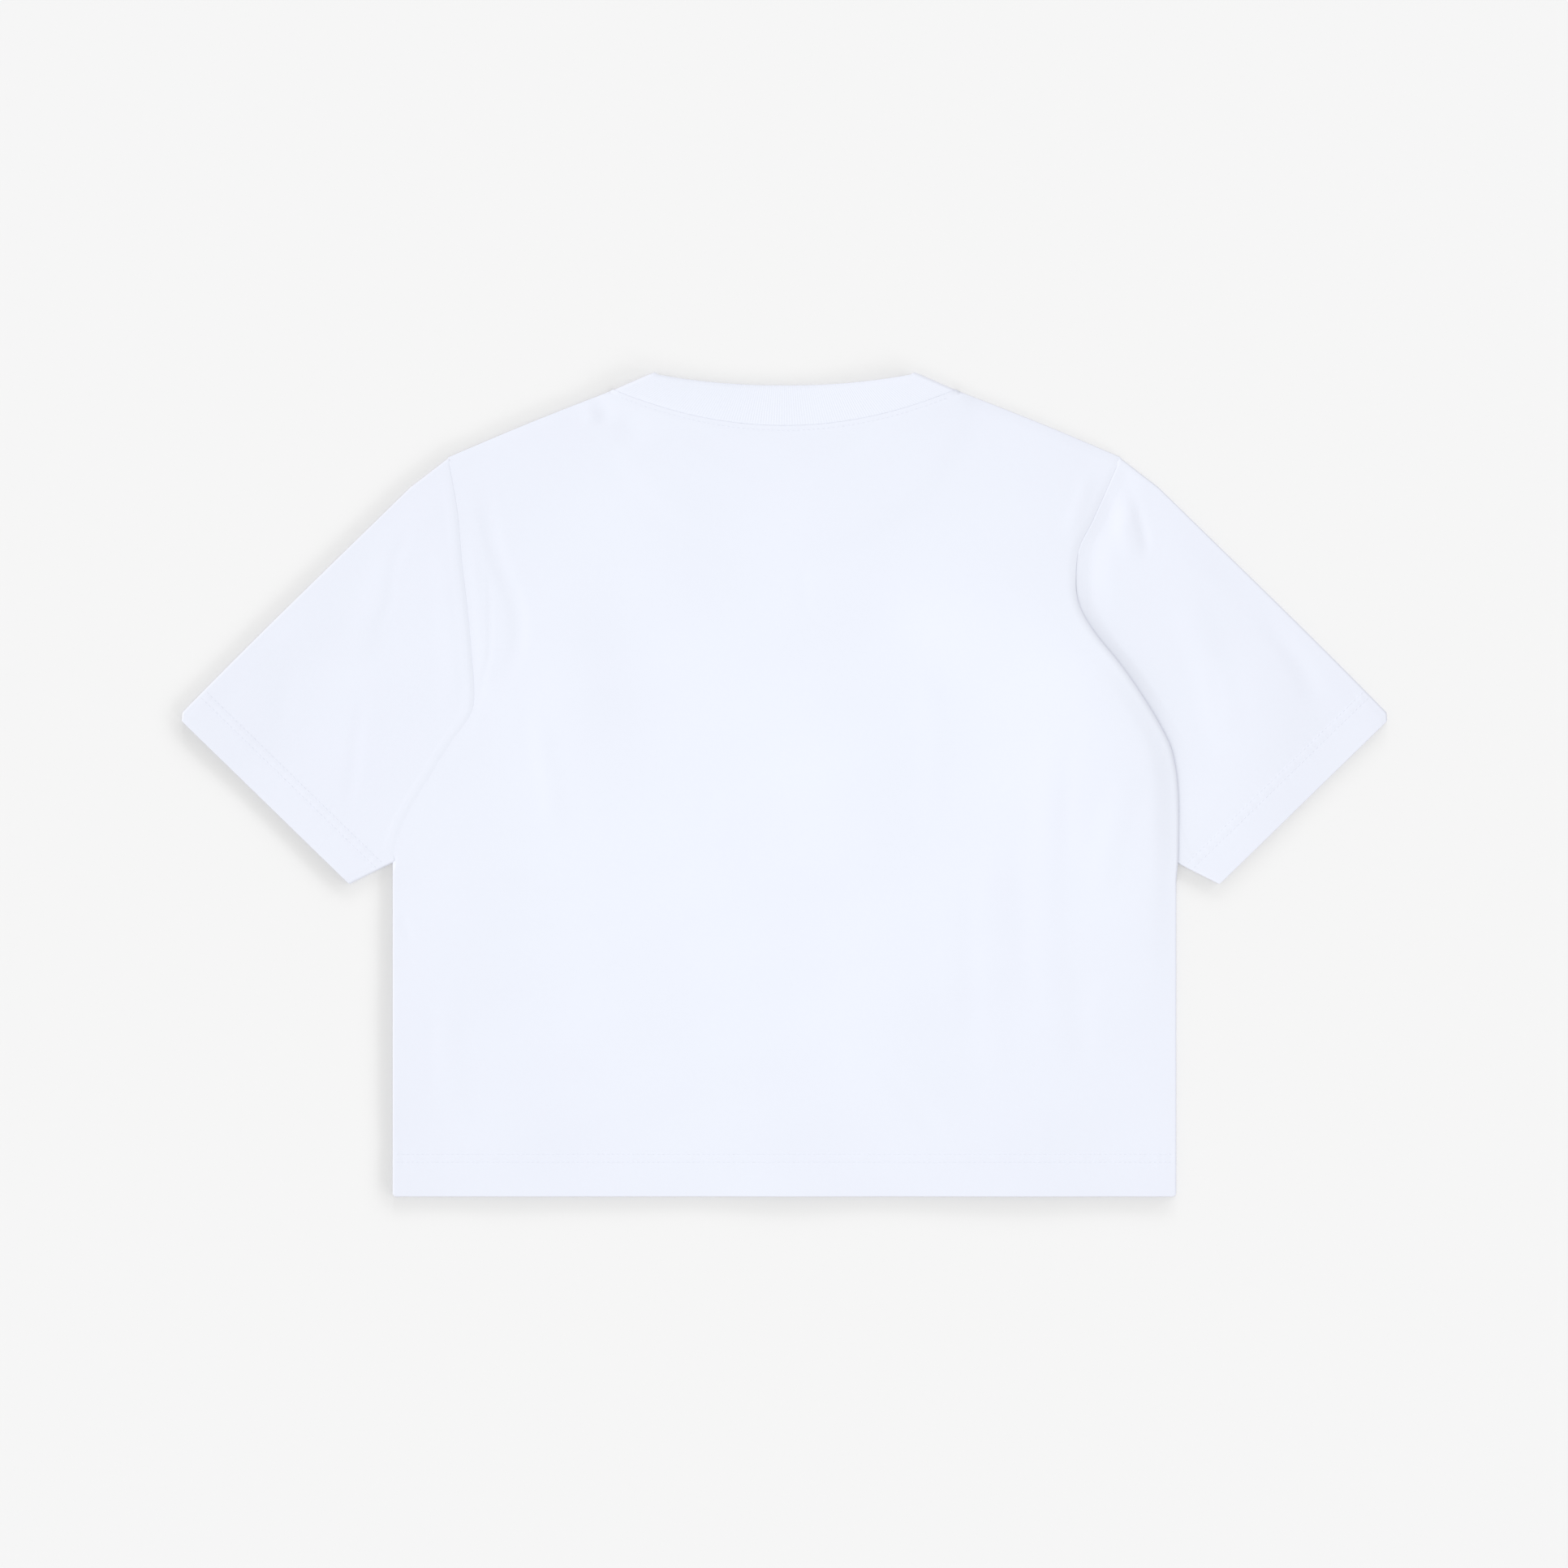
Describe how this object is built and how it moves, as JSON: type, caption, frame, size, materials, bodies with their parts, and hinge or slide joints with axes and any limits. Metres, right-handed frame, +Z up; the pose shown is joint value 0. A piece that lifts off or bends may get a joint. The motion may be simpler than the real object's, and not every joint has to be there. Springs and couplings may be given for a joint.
{
  "type": "t-shirt",
  "caption": "White cropped boxy T-shirt with short set-in sleeves and a ribbed crew neck, laid flat with its back side up.",
  "frame": {"origin": "the middle of the garment's footprint, on the surface it lies on", "axes": "+X across the garment from cuff to cuff, +Y from the hem to the neck, +Z up from the surface, out of its back side"},
  "size_m": [0.769, 0.526, 0.0082],
  "materials": {
    "jersey": "matte",
    "rib": "matte"
  },
  "bodies": {
    "root": {"back_panel": "jersey", "front_panel": "jersey", "sleeve_left": "jersey", "sleeve_right": "jersey", "neck_rib": "rib"}
  },
  "joints": []
}
